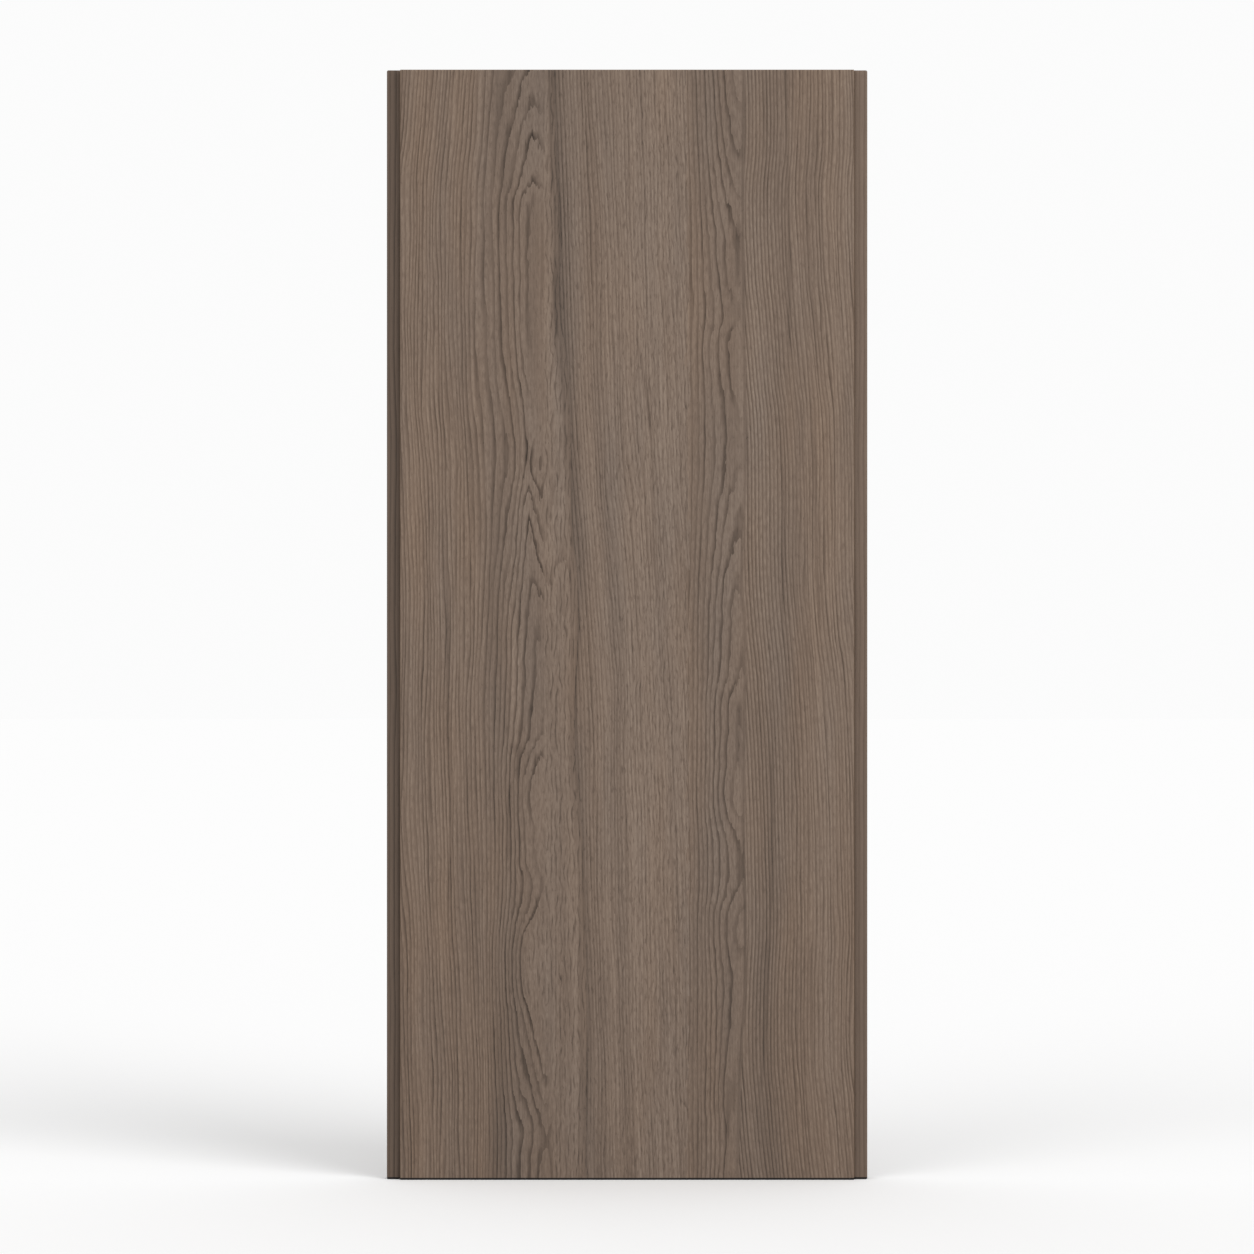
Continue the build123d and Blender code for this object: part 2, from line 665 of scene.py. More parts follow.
STREAKS = (
    Streak(
        course=BORDER,
        darkness=((0, 10), (500, 18), (1000, 13), (1500, 18), (1985, 14)),
        width=4.5,
    ),
    Streak(
        course=BAND,
        darkness=(
            (0, 6), (450, 12), (640, 10), (770, 18), (890, 18), (1050, 13), (1400, 11), (1560, 12),
            (1680, 18), (1910, 18), (1985, 14),
        ),
        width=5.5,
    ),
    Streak(
        course=(
            (0, -84), (450, -83), (680, -94), (820, -101), (1035, -98), (1180, -107), (1325, -110),
            (1485, -118), (1575, -129), (1700, -128), (1805, -134), (1985, -140),
        ),
        darkness=((0, 4), (500, 9), (900, 6), (1300, 10), (1700, 14), (1985, 12)),
        width=4.5,
    ),
    Streak(
        course=(
            (0, -76), (450, -76), (680, -86), (820, -95), (1035, -91), (1325, -104), (1575, -123),
            (1985, -133),
        ),
        darkness=((0, 3), (450, 8), (1100, 8), (1680, 10), (1985, 10)),
        width=19.0,
    ),
    Streak(
        course=((500, -316), (1100, -321)),
        darkness=((0, 0), (450, 0), (560, 12), (1040, 12), (1180, 0), (1985, 3)),
        width=5.0,
    ),
    Streak(
        course=((0, -228), (250, -225), (720, -222), (1108, -236), (1341, -214), (1985, -225)),
        darkness=((0, 6), (80, 10), (240, 10), (330, 5), (1985, 5)),
        width=24.0,
    ),
    Streak(
        course=((572, -213), (697, -210), (724, -197), (777, -193), (1285, -180), (1345, -181)),
        darkness=(
            (0, 0), (540, 0), (600, 14), (680, 14), (710, 6), (735, 18), (775, 14), (820, 0),
            (1270, 0), (1300, 18), (1330, 14), (1370, 0), (1985, 0),
        ),
        width=6.0,
    ),
    Streak(
        course=((0, -198), (1985, -198)),
        darkness=((0, 0), (780, 0), (840, -6), (950, -6), (1000, 0), (1985, 0)),
        width=16.0,
    ),
    Streak(
        course=((90, 180), (178, 181), (742, 199.5), (849, 199.5), (1600, 198), (1707, 198)),
        darkness=(
            (0, 0), (60, 0), (95, 15), (160, 12), (220, 0), (720, 0), (760, 14), (835, 14),
            (870, 0), (1580, 0), (1625, 18), (1690, 18), (1730, 0), (1985, 0),
        ),
        width=7.0,
    ),
    Streak(
        course=((160, 238), (268, 247), (393, 252), (540, 260), (715, 260)),
        darkness=(
            (0, 4), (130, 4), (200, 13), (380, 13), (450, 6), (540, 16), (710, 16), (800, 3),
            (1985, 3),
        ),
        width=6.0,
    ),
    Streak(
        course=((214, 331), (393, 331), (1019, 345), (1073, 342), (1323, 336)),
        darkness=(
            (0, 0), (160, 0), (230, 11), (380, 11), (450, 0), (950, 0), (1030, 14), (1320, 14),
            (1400, 0), (1985, 0),
        ),
        width=4.5,
    ),
    Streak(
        course=((1037, 277), (1242, 277), (1520, 290), (1967, 283)),
        darkness=(
            (0, 0), (980, 0), (1050, 12), (1240, 12), (1310, 2), (1440, 2), (1530, 11), (1985, 11),
        ),
        width=5.0,
    ),
    Streak(
        course=((1055, 54), (1144, 47), (1341, 41), (1484, 23)),
        darkness=((0, 0), (1000, 0), (1070, 11), (1470, 11), (1540, 0), (1985, 0)),
        width=4.5,
    ),
    Streak(
        course=((0, 242), (1985, 242)),
        darkness=((0, 0), (780, 0), (900, -5), (1650, -6), (1800, 0), (1985, 0)),
        width=50.0,
    ),
    Streak(
        course=((0, 188), (1985, 188)),
        darkness=((0, 0), (1100, 0), (1250, 5), (1500, 8), (1700, 4), (1830, 0), (1985, 0)),
        width=32.0,
    ),
    Streak(
        course=((0, -168), (1985, -168)),
        darkness=((0, 0), (1300, 0), (1400, 6), (1600, 8), (1750, 3), (1830, 0), (1985, 0)),
        width=32.0,
    ),
)


@dataclass(frozen=True)
class RingField:
    """The rings around the heart of a column.

    Attributes:
        rings: the distance from the heart, in rings.
        lean: how upright the lines stand, from 0 where they are level to 1.
        clear: how clearly the lines show, from 0 to 1.
    """

    rings: Number
    lean: Number
    clear: Number

    def change_to(self, other: "RingField", share: Signal) -> "RingField":
        """Other rings that take over from these.

        Args:
            other: the other rings.
            share: how far they take over, from 0 to 1.

        Returns:
            The rings between the two.
        """
        return RingField(
            self.rings + (other.rings - self.rings) * share,
            self.lean + (other.lean - self.lean) * share,
            self.clear + (other.clear - self.clear) * share,
        )


# The noise that pushes the middle zone's border and the lines aside, in millimetres, or in rings
# for the last two
RAGGED_BORDER = Waves((12.0, 60.0), 17, 2.0, 26.0)
SWAY = Waves((120.0, 400.0), 1, strength=15.0)
RIPPLE = Waves((16.0, 85.0), 2, 2.0)
NEAR_RIPPLE = 1.4
FAR_RIPPLE = 2.0
TEETH = Waves((4.0, 20.0), 3, 2.0, 25.0)
UNEVENNESS = Waves((20.0, 300.0), 4, strength=1.5)
WAVER = Waves((14.0, 42.0), 13, strength=0.45)

# The noise along the lines, and their darkness, where 1 is the usual one
FADING = Waves((9.0, 130.0), 6)
DASHES = Waves((3.4, 15.0), 11)
FADED_INK = 1.7
DASHED_INK = 2.6
CLEAR_DASHED_INK = 1.2
NEAR_BREAKS = 0.6
USUAL_INK = 0.95
LEAST_INK = 0.05
LINE_VARIETY = 0.7
LINE_SEED = 5

# How much fainter the lines are far from the columns, between them, right of them and mottled
FAR_LOSS = 0.15
MIDDLE_LOSS = 0.2
RIGHT_LOSS = 0.08
MOTTLED_LOSS = 0.5

# Where in its ring a line is darkest and where it ends, and how much later where it is upright
LINE_EDGE = 0.05
LINE_END = 0.32
UPRIGHT_END = 0.34

# Where the mottled zones begin and are full, in millimetres, or in rings in the heart, and how
# mottled the middle and the heart are beside the rest
MOTTLED_HEM = (-4.0, 3.0)
MIDDLE_HEM = (-80.0, 40.0)
MIDDLE_SHARE = 0.65
HEART_HEM = 0.8
HEART_SHARE = 0.9

# The curled and broken lines of the mottled zones, called hairs
CURL = Waves((20.0, 48.0), 18, strength=13.0)
HAIR_BREAKS = Waves((7.0, 34.0), 15, 2.0, 5.0)
HAIR_SPACING = 8.0
HAIR_ENDS = (0.46, 0.04)
USUAL_HAIR = 0.65
DARKEST_HAIR = 1.2

# How much each kind of mark changes the tone, on a screen's scale. The bands' length is in rings.
GROUND_TONE = 128.5
LINE_TONE = 31.0
HAIR_TONE = 25.0
BETWEEN_HAIRS = 5.6
BANDS = Waves((4.5,), 7, 2.0, 16.5)
FIBRE = Waves((3.0, 170.0), 8, 2.0, 17.0)
FINE_LINES = Waves((6.6, 260.0), 14, strength=15.0)
MOTTLED_FINE = 0.8
DASH_TONE = 25.0
ZONES = Waves((60.0, 500.0), 9)
ZONE_TONE = 9.5
PORES = Waves((3.0, 18.0), 10)
PORE_EDGE = (0.09, 0.2)
PORE_TONE = 7.0
MIDDLE_PORE_TONE = 6.0
SPECKS = Waves((2.4, 8.0), 16)
SPECK_EDGE = (0.2, 0.32)
SPECK_TONE = 13.0
MOTTLED_SPECK_TONE = 5.0
STREAK_DASHES = 1.2
STREAK_FADING = 0.8

# How warm the stain is, from 0 for cool to 1 for warm
WARM_PATCHES = Waves((60.0, 360.0), 12, strength=0.8)
USUAL_WARMTH = 0.3
ZONE_WARMTH = 0.5
FAR_WARMTH = 0.3
MIDDLE_COOLNESS = 0.25

# The surface: its roughness, its relief in millimetres and the lines' share of the relief
ROUGHNESS = 0.62
LINE_ROUGHNESS = 0.15
RELIEF = 0.15
LINE_RELIEF = 0.6

# The straight lines' rings are counted on from this number, so that none counts below 0
STRAIGHT_RINGS = 50.0

# How far the back's figure moves sideways when it is turned over, in millimetres
BACK_TURN = 30.0


@dataclass(frozen=True)
class Spot:
    """Where a point of the veneer lies.

    Attributes:
        across: its place across the leaf, in millimetres.
        level: its height, in millimetres.
        upright: both of these as a vector.
        moved: how far the straight lines have wandered to the right here, in millimetres.
        place: the vector that goes with these lines.
        bent: the place across the leaf, pushed aside by the waves.
        torn: the height, pushed up and down by the teeth.
        far: 0 near a column, rising to 1 far from both.
        on_middle: 1 between the columns, and 0 elsewhere.
        on_right: 1 from the right column on, and 0 before it.
        on_ground: 1 where straight lines run between or right of the columns.
    """

    across: Signal
    level: Signal
    upright: Signal
    moved: Signal
    place: Signal
    bent: Signal
    torn: Signal
    far: Signal
    on_middle: Signal
    on_right: Signal
    on_ground: Signal


@dataclass(frozen=True)
class CrownVeneer:
    """Stained oak veneer with columns of arches.

    Attributes:
        face: the face that it lies on.
        columns: the columns of arches, the left one first.
        streaks: the lines that stand out.
        drift: how the straight lines wander.
        ring: the width of a ring, in millimetres.
        reach: how far from a column its arches begin to fade and where they end, in millimetres.
        axis_reach: how far from a column its axis has no more say and where it has its whole say,
            in millimetres.
        seed: a number that makes its noise differ from other veneers'.
    """

    face: Face
    columns: tuple[CrownColumn, CrownColumn] = (LEFT_COLUMN, RIGHT_COLUMN)
    streaks: tuple[Streak, ...] = STREAKS
    drift: Drift = DRIFT
    ring: float = 6.5
    reach: tuple[float, float] = (30.0, 120.0)
    axis_reach: tuple[float, float] = (52.0, 6.0)
    seed: float = 0.0

    def locate(self, recipe: Recipe, across: Signal, level: Signal) -> Spot:
        """Finds out where a point of the veneer lies.

        Args:
            recipe: the veneer's recipe.
            across: the place across the leaf, in millimetres.
            level: the height, in millimetres.

        Returns:
            All that the finish needs to know about the point.
        """
        drift = self.drift
        upright = recipe.place(across, level)
        ragged = across + recipe.noise(upright, RAGGED_BORDER, self.seed)
        on_middle = (across - level.follow(drift.middle_start)).above(drift.middle_hem)
        on_middle = on_middle * ragged.below(drift.middle_end)
        on_flank = (across - level.follow(drift.right_start)).above(drift.right_hem)
        moved = level.follow(drift.left) * across.step(*drift.left_from)
        moved = moved + level.follow(drift.middle) * on_middle
        moved = moved + level.follow(drift.right) * on_flank
        place = recipe.place(across - moved, level)

        left, right = ((across - column.middle()).size() for column in self.columns)
        far = left.least(right).step(*self.reach)
        ripple = recipe.noise(upright, RIPPLE, self.seed) * (far * FAR_RIPPLE + NEAR_RIPPLE)
        torn = level + recipe.noise(place, TEETH, self.seed)
        return Spot(
            across=across,
            level=level,
            upright=upright,
            moved=moved,
            place=place,
            bent=across + recipe.noise(upright, SWAY, self.seed) * far + ripple,
            torn=torn.most(0.0).least(LEAF_HEIGHT),
            far=far,
            on_middle=on_middle,
            on_right=across.above(drift.middle_end),
            on_ground=on_middle.most(on_flank),
        )

    def field(self, column: CrownColumn, across: Signal, level: Signal) -> RingField:
        """The rings around the heart of a column.

        Args:
            column: the column.
            across: the place across the leaf, in millimetres.
            level: the height, in millimetres.

        Returns:
            The rings.
        """
        offset = across - column.middle()
        near = offset.size().step(self.reach[1], self.reach[0])
        bend = offset.size().step(*self.axis_reach)
        beside = offset - (level.follow(column.axis) - column.middle()) * bend
        usual = column.usual_depth()
        arched = (level.follow(column.depth) - usual) * near + usual
        staying = beside.step(column.leaving[1], column.leaving[0])
        depth = (arched - column.rest) * staying + column.rest
        aside = beside.size() * (1 / self.ring)
        pointed = level.follow(column.pointed) * near
        rings = (aside * (aside + pointed) + depth * depth).root()
        lean = (aside + pointed * 0.5) / rings
        on_right_leg = beside.step(*column.leg_hem) * near
        clear = 1 - on_right_leg * (1 - level.follow(column.right_legs))
        clear = clear + (level.follow(column.apexes) - 1) * aside.step(*column.apex_reach)
        hem, hollow, second = column.ring_hem, column.hollow, column.hollow + 1
        shown = rings.step(hollow - hem, hollow + hem)
        shown = shown * (1 + rings.step(second + hem, second - hem) * column.first_gain)
        ended = (across - level.follow(column.legs_end)).step(*column.end_hem) * near
        return RingField(rings, lean, clear.most(0.0) * shown * (1 - ended * column.end_loss))

    def mottled(self, spot: Spot, heart: Signal) -> Signal:
        """How strongly a point is mottled, so that the lines there curl and break.

        Args:
            spot: where the point lies.
            heart: its distance from the heart of the left column, in rings.

        Returns:
            The strength, from 0 to 1.
        """
        column = self.columns[0]
        beside = (spot.across - spot.level.follow(column.legs_end)).step(*MOTTLED_HEM)
        inside = heart.step(column.hollow, column.hollow - HEART_HEM) * HEART_SHARE
        left = beside.most(inside) * (1 - spot.on_ground) * (1 - spot.on_right)
        return left.most(spot.across.step(*MIDDLE_HEM) * spot.on_middle * MIDDLE_SHARE)

    def hairs(self, recipe: Recipe, spot: Spot) -> Signal:
        """The curled and broken lines of the mottled zones.

        Args:
            recipe: the veneer's recipe.
            spot: where the point lies.

        Returns:
            How dark a line is here, where 1 is the usual darkness.
        """
        curled = spot.across + recipe.noise(spot.upright, CURL, self.seed)
        lines = (curled * (1 / HAIR_SPACING)).fraction().step(*HAIR_ENDS)
        breaks = recipe.noise(spot.upright, HAIR_BREAKS, self.seed) + USUAL_HAIR
        return lines * breaks.most(0.0).least(DARKEST_HAIR)

    def material(self) -> bpy.types.Material:
        """Mixes the finish.

        Returns:
            The material.
        """
        recipe = Recipe.of_material(f"oak_{self.face.value}")
        across, _, height = recipe.position()
        level = height
        if self.face is Face.BACK:
            across = BACK_TURN - across
            level = LEAF_HEIGHT - height
        spot = self.locate(recipe, across, level)
        place, upright, far, seed = spot.place, spot.upright, spot.far, self.seed

        shifted = spot.bent - spot.moved
        left, right = (self.field(column, shifted, spot.torn) for column in self.columns)
        mottled = self.mottled(spot, left.rings)
        field = left.change_to(right, spot.on_right)
        wavy = field.rings + recipe.noise(upright, WAVER, seed) * (1 - far)
        straight = RingField(shifted * (1 / self.ring) + STRAIGHT_RINGS, 1.0, 1.0)
        field = RingField(wavy, field.lean, field.clear).change_to(straight, spot.on_ground)
        rings = field.rings + recipe.noise(place, UNEVENNESS, seed) * far

        fading = recipe.noise(place, FADING, seed)
        dashes = recipe.noise(place, DASHES, seed)
        weight = recipe.chance(rings.floor(), LINE_SEED + seed) - 0.5
        loss = far * FAR_LOSS + spot.on_middle * MIDDLE_LOSS + spot.on_right * RIGHT_LOSS
        strength = (1 - loss) * (1 + weight * LINE_VARIETY) * field.clear
        dashed_ink = DASHED_INK - field.clear * CLEAR_DASHED_INK + spot.on_middle
        breaks = fading * FADED_INK + dashes * dashed_ink
        breaks = breaks * (far * (1 - NEAR_BREAKS) + NEAR_BREAKS) + USUAL_INK
        strength = strength * (1 - mottled * MOTTLED_LOSS) * breaks.most(LEAST_INK)
        line = rings.fraction().step(field.lean * UPRIGHT_END + LINE_END, LINE_EDGE) * strength

        bands = recipe.line_noise(rings, BANDS, seed)
        fine = recipe.noise(place, FINE_LINES, seed) * far.most(mottled * MOTTLED_FINE)
        zones = recipe.noise(upright, ZONES, seed)
        pores = recipe.noise(place, PORES, seed).step(*PORE_EDGE)
        specks = recipe.noise(place, SPECKS, seed).step(*SPECK_EDGE)
        hairs = self.hairs(recipe, spot) * HAIR_TONE - BETWEEN_HAIRS
        # The tone over the height is painted shade, darker towards the foot
        tone = GROUND_TONE + across.follow(SHADE_ACROSS) + level.follow(PAINTED_SHADE_UP)
        tone = tone + bands + recipe.noise(place, FIBRE, seed) + fine
        tone = tone + dashes * DASH_TONE + zones * ZONE_TONE - line * LINE_TONE
        tone = tone - pores * (spot.on_middle * MIDDLE_PORE_TONE + PORE_TONE)
        tone = tone - specks * (mottled * MOTTLED_SPECK_TONE + SPECK_TONE) - hairs * mottled
        change = dashes * STREAK_DASHES + fading * STREAK_FADING + 1
        for streak in self.streaks:
            tone = tone - streak.shade(spot.bent, spot.torn) * change

        warmth = recipe.noise(upright, WARM_PATCHES, seed) + zones * ZONE_WARMTH
        warmth = warmth + far * FAR_WARMTH - spot.on_middle * MIDDLE_COOLNESS + USUAL_WARMTH
        cast = recipe.mix(warmth, COOL_CAST, WARM_CAST)
        colour = recipe.mix(1.0, recipe.tint(tone, OAK_STAIN), cast, "MULTIPLY")
        # Painted contact shadow along the foot
        colour = with_painted_contact_shadow(recipe, colour, height)
        worn = line * LINE_RELIEF + pores * (1 - LINE_RELIEF)
        return recipe.surface(colour, line * LINE_ROUGHNESS + ROUGHNESS, 1 - worn, RELIEF)


class Run(Enum):
    """The way that the grain of a solid piece runs."""

    UPRIGHT = "upright"
    LEVEL = "level"


@dataclass(frozen=True)
class Timber:
    """Solid wood, with its rings seen on every side.

    Its waves' lengths are across the grain, along it and through the leaf.

    Attributes:
        name: the material's name.
        run: the way that the grain runs.
        heart: the place of the log's heart across the grain, in millimetres: X or Z, and Y.
        ring: the width of a ring, in millimetres.
        stops: the colours for a screen's tones.
        ground: the tone between the rings' dark lines.
        line: how much darker the lines are.
        pore: how much darker the pores are.
        foot: whether the piece's foot gets the painted contact shadow.
        fade: how much darker the foot is than the head, as painted shade that darkens towards the
            floor.
        seed: a number that makes its noise differ from other timbers'.
        sway: the long waves that push the rings.
        ripple: the short waves that push them.
        group: the noise, along the rings, that sets them closer or wider together.
        line_end: where in its ring a line ends, from 0 to 1.
        weights: how dark the faintest line is, and how much darker than that one can be.
        weight_seed: a number that deals these out.
        fibre: the noise of the fibres.
        pores: the noise of the pores.
        pore_edge: the noise at which a pore begins and is full.
        line_roughness: how much rougher the lines are.
        relief: the depth of the lines and pores together, in millimetres.
        line_relief: the lines' share of that.
    """

    name: str
    run: Run
    heart: tuple[float, float]
    ring: float
    stops: tuple[tuple[float, Colour], ...]
    ground: float
    line: float
    pore: float
    foot: bool = False
    fade: float = 0.0
    seed: float = 0.0
    sway: Waves = Waves((60.0, 300.0, 60.0), 1, strength=6.0)
    ripple: Waves = Waves((6.0, 40.0, 6.0), 2)
    group: Waves = Waves((5.0,), 3)
    line_end: float = 0.6
    weights: tuple[float, float] = (0.5, 0.8)
    weight_seed: float = 4.0
    fibre: Waves = Waves((2.6, 70.0, 2.6), 5, 2.0, 18.0)
    pores: Waves = Waves((0.9, 12.0, 0.9), 6)
    pore_edge: tuple[float, float] = (0.1, 0.3)
    line_roughness: float = 0.12
    relief: float = 0.12
    line_relief: float = 0.5

    def material(self) -> bpy.types.Material:
        """Mixes the finish.

        Returns:
            The material.
        """
        recipe = Recipe.of_material(self.name)
        sideways, through, height = recipe.position()
        along, across = (height, sideways) if self.run is Run.UPRIGHT else (sideways, height)
        place = recipe.place(across, along, through)
        seed = self.seed

        aside = across - self.heart[0]
        deep = through - self.heart[1]
        pushed = recipe.noise(place, self.sway, seed) + recipe.noise(place, self.ripple, seed)
        rings = ((aside * aside + deep * deep).root() + pushed) * (1 / self.ring)
        phase = rings + recipe.line_noise(rings, self.group, seed)
        faintest, variety = self.weights
        weight = recipe.chance(phase.floor(), self.weight_seed + seed) * variety + faintest
        line = phase.fraction().step(self.line_end, 0.0) * weight

        pores = recipe.noise(place, self.pores, seed).step(*self.pore_edge)
        tone = self.ground + recipe.noise(place, self.fibre, seed)
        tone = tone - line * self.line - pores * self.pore
        # Painted shade: darker towards the foot, by the fade
        tone = tone - height.step(LEAF_HEIGHT, 0.0) * self.fade
        colour = recipe.tint(tone, self.stops)
        # Painted contact shadow along the foot
        if self.foot:
            colour = with_painted_contact_shadow(recipe, colour, height)
        worn = line * self.line_relief + pores * (1 - self.line_relief)
        roughness = line * self.line_roughness + ROUGHNESS
        return recipe.surface(colour, roughness, 1 - worn, self.relief)


SOFTWOOD_STAIN = (
    (120.0, stain(150, 102, 58)),
    (170.0, stain(190, 148, 98)),
    (205.0, stain(212, 178, 128)),
    (225.0, stain(226, 198, 152)),
)
FIBREBOARD_STAIN = (
    (80.0, stain(72, 54, 38)),
    (118.0, stain(116, 92, 68)),
    (150.0, stain(150, 124, 96)),
)


def softwood(run: Run, heart: tuple[float, float], seed: float) -> Timber:
    """The softwood that runs one way.

    Args:
        run: the way that its grain runs.
        heart: the place of its log's heart across the grain, in millimetres: X or Z, and Y.
        seed: a number that makes its noise differ from other timbers'.

    Returns:
        Its finish.
    """
    return Timber(
        name=f"softwood_{run.value}",
        run=run,
        heart=heart,
        ring=3.6,
        stops=SOFTWOOD_STAIN,
        ground=205.0,
        line=42.0,
        pore=4.0,
        seed=seed,
    )


@dataclass(frozen=True)
class Fibreboard:
    """Raw brown fibreboard, as the edges of the crossbands show it.

    Its waves' lengths are across, up and through the leaf. Tones are on a screen's scale.

    Attributes:
        ground: the usual tone.
        clouds: the noise of its clouds, with the strength of their tone.
        fibres: the noise of its fibres.
        fibre_tone: how much the tone changes from fibre to fibre.
        specks: the noise of its dark specks.
        speck_edge: the noise at which a speck begins and is full.
        speck_tone: how much darker the specks are.
        roughness: how rough it is, and how much that changes from fibre to fibre.
        relief: the depth of its relief, in millimetres.
        gloss: its specular level.
        seed: a number that makes its noise differ from other finishes'.
    """

    ground: float = 118.0
    clouds: Waves = Waves((40.0, 40.0, 40.0), 1, strength=14.0)
    fibres: Waves = Waves((1.4, 1.4, 0.5), 2, 3.0)
    fibre_tone: float = 26.0
    specks: Waves = Waves((0.8, 0.8, 0.8), 3)
    speck_edge: tuple[float, float] = (0.18, 0.3)
    speck_tone: float = 22.0
    roughness: tuple[float, float] = (0.78, 0.2)
    relief: float = 0.1
    gloss: float = 0.2
    seed: float = 60.0

    def material(self) -> bpy.types.Material:
        """Mixes the finish.

        Returns:
            The material.
        """
        recipe = Recipe.of_material("raw_fibreboard")
        across, through, height = recipe.position()
        place = recipe.place(across, height, through)
        fibres = recipe.noise(place, self.fibres, self.seed)
        specks = recipe.noise(place, self.specks, self.seed).step(*self.speck_edge)
        tone = self.ground + recipe.noise(place, self.clouds, self.seed)
        tone = tone + fibres * self.fibre_tone - specks * self.speck_tone
        # Painted contact shadow along the foot
        colour = with_painted_contact_shadow(recipe, recipe.tint(tone, FIBREBOARD_STAIN), height)
        roughness = fibres * self.roughness[1] + self.roughness[0]
        return recipe.surface(colour, roughness, fibres + 0.5, self.relief, self.gloss)


@dataclass(frozen=True)
class Chipboard:
    """Raw extruded chipboard, of small flat chips that lie across the leaf.

    Sizes are across, through and up the leaf, in millimetres. Tones are on a screen's scale.

    Attributes:
        chip: the size of a chip.
        wander: the noise that pushes the chips.
        tones: the darkest chip's tone, and how much lighter than that a chip can be.
        gap_edge: how far from a chip's middle the gap beside it begins and is full, in chips.
        gap_tone: how much darker the gaps are.
        dust: the noise of the dust between the chips.
        dust_tone: how much the tone changes with the dust.
        roughness: how rough it is, and how much that changes with the dust.
        fall: how far from a chip's middle its face begins to fall and has fallen, in chips.
        relief: how far it falls, in millimetres.
        gloss: its specular level.
        seed: a number that makes its noise differ from other finishes'.
    """

    chip: tuple[float, float, float] = (2.2, 7.0, 4.0)
    wander: Waves = Waves((9.0, 9.0, 9.0), 1, strength=5.0)
    tones: tuple[float, float] = (150.0, 50.0)
    gap_edge: tuple[float, float] = (0.45, 0.8)
    gap_tone: float = 26.0
    dust: Waves = Waves((0.7, 0.7, 0.7), 2, 2.0)
    dust_tone: float = 22.0
    roughness: tuple[float, float] = (0.8, 0.2)
    fall: tuple[float, float] = (0.2, 0.8)
    relief: float = 0.3
    gloss: float = 0.2
    seed: float = 70.0

    def material(self) -> bpy.types.Material:
        """Mixes the finish.

        Returns:
            The material.
        """
        recipe = Recipe.of_material("raw_chipboard")
        across, through, height = recipe.position()
        place = recipe.place(across, through, height)
        wander = recipe.noise(place, self.wander, self.seed)
        sockets = {0: place, 1: recipe.place(wander, wander, wander)}
        shifted = recipe.add("ShaderNodeVectorMath", {"operation": "ADD"}, sockets)
        scales = {0: shifted, 1: tuple(1 / size for size in self.chip)}
        packed = recipe.add("ShaderNodeVectorMath", {"operation": "MULTIPLY"}, scales)
        chips = recipe.add("ShaderNodeTexVoronoi", sockets={"Vector": packed}, out="Color")
        shade = recipe.add("ShaderNodeSeparateColor", sockets={0: chips}, out="Red")
        gap = recipe.add("ShaderNodeTexVoronoi", sockets={"Vector": packed}, out="Distance")
        dust = recipe.noise(place, self.dust, self.seed)
        tone = shade * self.tones[1] + self.tones[0] - gap.step(*self.gap_edge) * self.gap_tone
        colour = recipe.tint(tone + dust * self.dust_tone, SOFTWOOD_STAIN)
        roughness = dust * self.roughness[1] + self.roughness[0]
        level = 1 - gap.step(*self.fall)
        return recipe.surface(colour, roughness, level, self.relief, self.gloss)


def dress(node: str, material: bpy.types.Material) -> None:
    """Gives a piece of the leaf its finish.

    Args:
        node: the piece's name.
        material: the finish.
    """
    bpy.data.objects[node].data.materials[0] = material
    LOG.info("dressed %s in %s", node, material.name)


@dataclass
class Faces:
    """The veneers and the boards under them.

    Attributes:
        veneers: the finishes of the two veneers.
        board: the finish of the boards.
    """

    veneers: tuple[CrownVeneer, ...] = (
        CrownVeneer(Face.FRONT),
        CrownVeneer(Face.BACK, seed=20.0),
    )
    board: Fibreboard = Fibreboard()

    def build(self) -> None:
        """Dresses the sheets, whose shapes come from the frame."""
        for veneer in self.veneers:
            dress(veneer.face.value, veneer.material())
        board = self.board.material()
        for side in ("front", "back"):
            dress(f"{side}_crossband", board)


@dataclass
class EdgeStrips:
    """The solid oak strips along both long edges.

    Attributes:
        heart: how far the heart of the strips' log lies from the middle of the leaf, and how far
            behind it, in millimetres.
        ring: the width of a ring, in millimetres.
        line: how much darker the lines are, on a screen's scale.
        pore: how much darker the pores are.
        seed: a number that makes their noise differ from other timbers'.
        tones: each strip's name, side, ground tone and how much darker its foot is. The ground
        tones hold the stock's colour, and the left one is lower still as painted shade for the
        face panel's shadow on that strip; the darker foot is painted shade near the floor.
    """

    heart: tuple[float, float] = (352.0, 66.0)
    ring: float = 6.5
    line: float = 22.0
    pore: float = 12.0
    seed: float = 40.0
    # Both ground tones hold the stock's darker colour; the left one is lower still as painted shade
    # for the face panel's shadow, and the right strip's darker foot is painted shade
    tones: tuple[tuple[str, float, float, float], ...] = (
        ("left", -1.0, 101.0, 0.0),
        ("right", 1.0, 126.0, 13.0),
    )

    def build(self) -> None:
        """Dresses the strips, whose shapes come from the frame."""
        for name, side, ground, fade in self.tones:
            strip = Timber(
                name=f"oak_{name}_lipping",
                run=Run.UPRIGHT,
                heart=(side * self.heart[0], self.heart[1]),
                ring=self.ring,
                stops=OAK_STAIN,
                ground=ground,
                line=self.line,
                pore=self.pore,
                foot=True,
                fade=fade,
                seed=self.seed + side,
            )
            dress(f"{name}_lipping", strip.material())


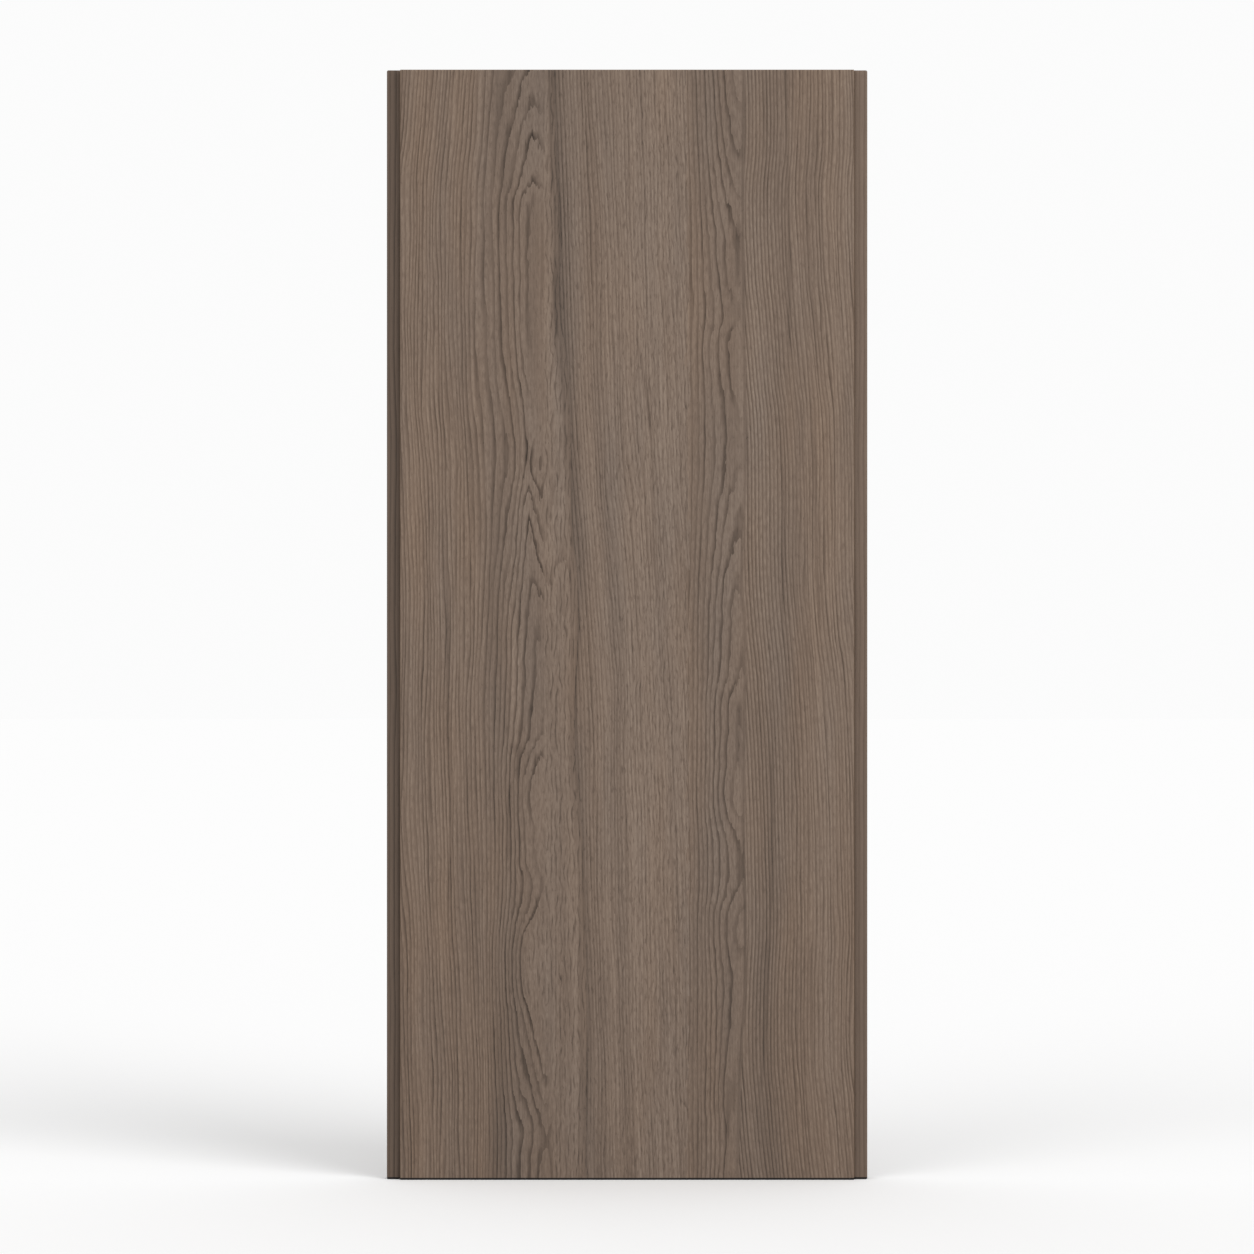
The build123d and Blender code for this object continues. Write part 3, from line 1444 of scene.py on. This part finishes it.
@dataclass
class Frame:
    """The softwood frame between the faces, and the board that fills it.

    Attributes:
        uprights: the finish of the stiles and the lock blocks.
        rails: the finish of the rails.
        board: the finish of the board.
    """

    uprights: Timber = softwood(Run.UPRIGHT, (330.0, 55.0), 50.0)
    rails: Timber = softwood(Run.LEVEL, (-20.0, 70.0), 55.0)
    board: Chipboard = Chipboard()

    def build(self) -> None:
        """Dresses the frame, whose shapes come from the frame file."""
        uprights, rails = self.uprights.material(), self.rails.material()
        for side in ("left", "right"):
            dress(f"{side}_stile", uprights)
            dress(f"{side}_lock_block", uprights)
        for end in ("top", "bottom"):
            dress(f"{end}_rail", rails)
        board = self.board.material()
        for part in ("lower", "middle", "upper"):
            dress(f"{part}_core", board)


@dataclass(frozen=True)
class Lamp:
    """A soft lamp far away.

    Attributes:
        name: its name.
        turn: how far it stands to the right of the front, in degrees.
        rise: how high it stands, in degrees.
        power: its strength.
        width: how wide it looks from the leaf, in degrees.
    """

    name: str
    turn: float
    rise: float
    power: float
    width: float = 36.0

    def hang(self) -> None:
        """Hangs the lamp."""
        data = bpy.data.lights.new(self.name, "SUN")
        data.energy = self.power
        data.angle = math.radians(self.width)
        turn, rise = math.radians(self.turn), math.radians(self.rise)
        towards = Vector(
            (math.sin(turn) * math.cos(rise), -math.cos(turn) * math.cos(rise), math.sin(rise))
        )
        lamp = bpy.data.objects.new(self.name, data)
        lamp.rotation_euler = (-towards).to_track_quat("-Z", "Y").to_euler()
        bpy.context.scene.collection.objects.link(lamp)


def grey(level: float) -> Colour:
    """A plain grey, from 0 for black to 1 for white."""
    return (level, level, level, 1.0)


@dataclass
class Studio:
    """The floor, the lamps, the sky and the camera.

    Attributes:
        floor_size: the length of the floor's sides, in metres.
        floor_light: how light the floor is to the leaf, from 0 to 1.
        floor_seen: how light it is to the camera.
        camera_place: how far to the right of the leaf's middle the camera stands, how far before
            its front and how high, in metres.
        frame_width: how much of the leaf's front its picture takes in from side to side, in metres.
        sensor: the width of its sensor, in millimetres.
        sight: how far it sees, in metres.
        front: how far behind the leaf's middle its front lies, in metres.
        sky: how light the sky is to the leaf, from 0 to 1.
        backdrop: how light it is to the camera.
        lamps: the lamps.
    """

    floor_size: float = 80.0
    floor_light: float = 0.6
    floor_seen: float = 1.0
    camera_place: tuple[float, float, float] = (-0.0002, 8.0, 0.9885)
    frame_width: float = 2.2418
    sensor: float = 36.0
    sight: float = 200.0
    front: float = -0.02
    sky: float = 0.7
    backdrop: float = 0.97
    lamps: tuple[Lamp, ...] = (
        Lamp("key", turn=43.0, rise=34.0, power=1.15),
        Lamp("fill", turn=-38.0, rise=32.0, power=0.45),
    )

    def lay_floor(self) -> None:
        """Lays a wide pale floor."""
        bpy.ops.mesh.primitive_plane_add(size=self.floor_size)
        floor = bpy.context.object
        floor.name = "floor"
        recipe = Recipe.of_material("studio_floor")
        seen = recipe.add("ShaderNodeLightPath", out="Is Camera Ray")
        tone = recipe.mix(seen, grey(self.floor_light), grey(self.floor_seen))
        shader = recipe.add("ShaderNodeBsdfDiffuse", sockets={"Color": tone})
        floor.data.materials.append(recipe.finish(shader))

    def place_camera(self) -> None:
        """Places the camera straight in front, at the middle of the leaf."""
        right, before, height = self.camera_place
        data = bpy.data.cameras.new("camera")
        data.sensor_width = self.sensor
        data.lens = data.sensor_width * before / self.frame_width
        data.clip_end = self.sight
        camera = bpy.data.objects.new("camera", data)
        camera.location = (right, self.front - before, height)
        camera.rotation_euler = (math.radians(90), 0, 0)
        bpy.context.scene.collection.objects.link(camera)
        bpy.context.scene.camera = camera

    def light_sky(self) -> None:
        """Lights the room evenly, with a white backdrop for the camera."""
        world = bpy.data.worlds.new("studio")
        bpy.context.scene.world = world
        recipe = Recipe(world)
        seen = recipe.add("ShaderNodeLightPath", out="Is Camera Ray")
        tone = recipe.mix(seen, grey(self.sky), grey(self.backdrop))
        recipe.finish(recipe.add("ShaderNodeBackground", sockets={"Color": tone}))

    def build(self) -> None:
        """Sets up the studio."""
        self.place_camera()
        self.lay_floor()
        self.light_sky()
        for lamp in self.lamps:
            lamp.hang()
        bpy.context.scene.view_settings.view_transform = "Standard"
        LOG.info("studio ready, with %d lamps", len(self.lamps))


def main() -> None:
    """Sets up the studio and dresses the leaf."""
    logging.basicConfig(level=logging.INFO, format="%(message)s")
    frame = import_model()
    LOG.info("loaded %d nodes", len(frame["nodes"]))
    for assembly in (Studio(), Faces(), EdgeStrips(), Frame()):
        assembly.build()
        LOG.info("built %s", type(assembly).__name__)


if __name__ == "__main__":
    main()
